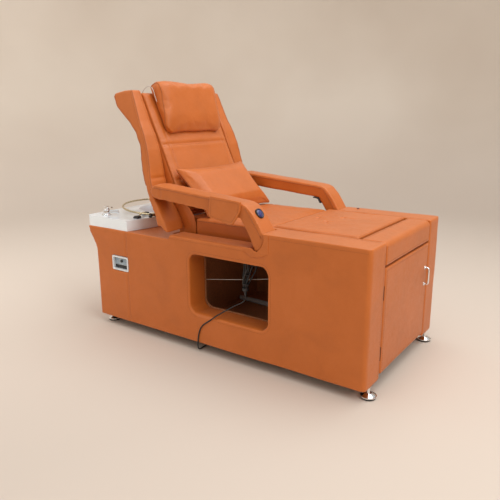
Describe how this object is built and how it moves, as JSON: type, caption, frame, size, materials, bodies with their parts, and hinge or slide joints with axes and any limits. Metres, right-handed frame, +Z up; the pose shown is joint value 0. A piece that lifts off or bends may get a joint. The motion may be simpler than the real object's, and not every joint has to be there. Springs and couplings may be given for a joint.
{
  "type": "pedicure spa chair",
  "caption": "Upholstered pedicure spa chair: box base with lidded foot tub, reclining winged back, parallel drop arms, and a head-wash basin behind.",
  "frame": {"origin": "centre of the chair's bounding box on the floor plane, measured without the mains lead", "axes": "+X towards the foot end, +Y towards the closed side away from the side window, +Z up"},
  "size_m": [1.582, 0.9115, 1.218],
  "materials": {
    "leather": "tan upholstery leather, fine grain, satin",
    "frame_steel": "black powder coat",
    "chrome": "polished",
    "board": "raw brown fibreboard",
    "basin_white": "white gloss",
    "tub_white": "white gloss acrylic",
    "black_plastic": "satin black",
    "black_cable": "matt black sheath",
    "black_rubber": "matt black",
    "hose_grey": "grey ribbed hose",
    "heater_white": "white enamel",
    "panel_silver": "pale blue-grey moulding",
    "brass_ring": "satin brass tube",
    "knob_blue": "dark blue gloss"
  },
  "bodies": {
    "base": {"base_frame": "frame_steel", "seat_frame": "frame_steel", "near_side_panel": "leather", "far_side_panel": "leather", "window_reveal": "leather", "near_inner_wall": "board", "far_inner_board": "board", "floor_board": "board", "rear_panel": "leather", "front_posts": "leather", "side_rails": "leather", "foot_borders": "leather", "rear_deck": "leather", "seat_cushion": "leather", "foot_tub": "tub_white", "hoses": "hose_grey", "levelling_feet": "chrome", "feet_pads": "black_rubber", "wash_basin": "basin_white", "tap_body": "chrome", "control_panel": "panel_silver", "water_heater": "heater_white", "pump": "black_plastic", "control_box": "black_plastic", "cable_bundle": "black_cable", "actuator_body": "frame_steel", "recline_brackets": "frame_steel", "arm_brackets": "frame_steel", "ring_clips": "black_plastic", "neck_rest": "black_rubber", "door_hinges": "frame_steel", "mains_gland": "black_plastic", "mains_cord": "black_cable", "cord_coil": "black_cable", "mains_plug": "black_plastic"},
    "backrest": {"back_frame": "frame_steel", "centre_pad": "leather", "near_wing": "leather", "far_wing": "leather", "rear_cover": "leather"},
    "head_pillow": {"head_pillow": "leather"},
    "lumbar_pillow": {"lumbar_pillow": "leather"},
    "near_post": {"near_post_pad": "leather", "near_post_frame": "frame_steel"},
    "near_arm": {"near_arm_pad": "leather", "near_arm_frame": "frame_steel", "arm_pouch": "leather"},
    "far_post": {"far_post_pad": "leather", "far_post_frame": "frame_steel"},
    "far_arm": {"far_arm_pad": "leather", "far_arm_frame": "frame_steel"},
    "arm_knob": {"arm_knob": "knob_blue"},
    "tub_lid": {"tub_lid": "leather"},
    "front_flap": {"front_flap": "leather"},
    "service_door": {"service_door": "leather", "door_handle": "chrome"},
    "tap_lever": {"tap_lever": "chrome"},
    "spray_ring": {"spray_ring": "brass_ring"},
    "panel_button": {"panel_button": "black_plastic"},
    "actuator_rod": {"actuator_rod": "chrome"}
  },
  "joints": [
    {"name": "recline", "type": "hinge", "parent": "base", "child": "backrest", "pos_m": [-0.213, 0, 0.6], "axis": [0, -1, 0], "range_deg": [0, 45]},
    {"name": "head_pillow_slide", "type": "slide", "parent": "backrest", "child": "head_pillow", "axis": [-0.4147, 0, 0.91], "range_m": [-0.06, 0.03]},
    {"name": "lumbar_pillow_lift", "type": "slide", "parent": "backrest", "child": "lumbar_pillow", "axis": [0.91, 0, 0.4147], "range_m": [0, 0.12]},
    {"name": "near_post_swing", "type": "hinge", "parent": "base", "child": "near_post", "pos_m": [0.267, -0.336, 0.56], "axis": [0, -1, 0], "range_deg": [0, 45]},
    {"name": "near_arm_level", "type": "hinge", "parent": "near_post", "child": "near_arm", "pos_m": [0.189, -0.336, 0.68], "axis": [0, -1, 0], "range_deg": [-45, 0]},
    {"name": "far_post_swing", "type": "hinge", "parent": "base", "child": "far_post", "pos_m": [0.267, 0.336, 0.56], "axis": [0, -1, 0], "range_deg": [0, 45]},
    {"name": "far_arm_level", "type": "hinge", "parent": "far_post", "child": "far_arm", "pos_m": [0.189, 0.336, 0.68], "axis": [0, -1, 0], "range_deg": [-45, 0]},
    {"name": "actuator_stroke", "type": "slide", "parent": "base", "child": "actuator_rod", "axis": [1, 0, 0], "range_m": [0, 0.104]},
    {"name": "lid_hinge", "type": "hinge", "parent": "base", "child": "tub_lid", "pos_m": [0.45, 0.255, 0.594], "axis": [-1, 0, 0], "range_deg": [0, 95]},
    {"name": "flap_hinge", "type": "hinge", "parent": "base", "child": "front_flap", "pos_m": [0.758, 0.006, 0.514], "axis": [0, 1, 0], "range_deg": [0, 90]},
    {"name": "door_hinge", "type": "hinge", "parent": "base", "child": "service_door", "pos_m": [0.758, -0.242, 0.28], "axis": [0, 0, -1], "range_deg": [0, 100]},
    {"name": "tap_turn", "type": "hinge", "parent": "base", "child": "tap_lever", "pos_m": [-0.7, -0.33, 0.6], "axis": [0, 0, 1], "range_deg": [-60, 60]},
    {"name": "ring_raise", "type": "hinge", "parent": "base", "child": "spray_ring", "pos_m": [-0.46165, -0.05, 0.57637], "axis": [0, 1, 0], "range_deg": [0, 12]},
    {"name": "knob_turn", "type": "hinge", "parent": "near_post", "child": "arm_knob", "pos_m": [0.25181, -0.336, 0.66961], "axis": [0.8384, 0, 0.545], "range_deg": [-60, 60]},
    {"name": "button_press", "type": "slide", "parent": "base", "child": "panel_button", "axis": [0, 1, 0], "range_m": [0, 0.003], "stiffness_N_per_m": 600, "springref_m": -0.002}
  ],
  "couplings": [
    {"joint": "near_post_swing", "follows": "recline", "ratio": 1},
    {"joint": "near_arm_level", "follows": "recline", "ratio": -1},
    {"joint": "far_post_swing", "follows": "recline", "ratio": 1},
    {"joint": "far_arm_level", "follows": "recline", "ratio": -1},
    {"joint": "actuator_stroke", "follows": "recline", "m_per_rad": 0.132}
  ]
}
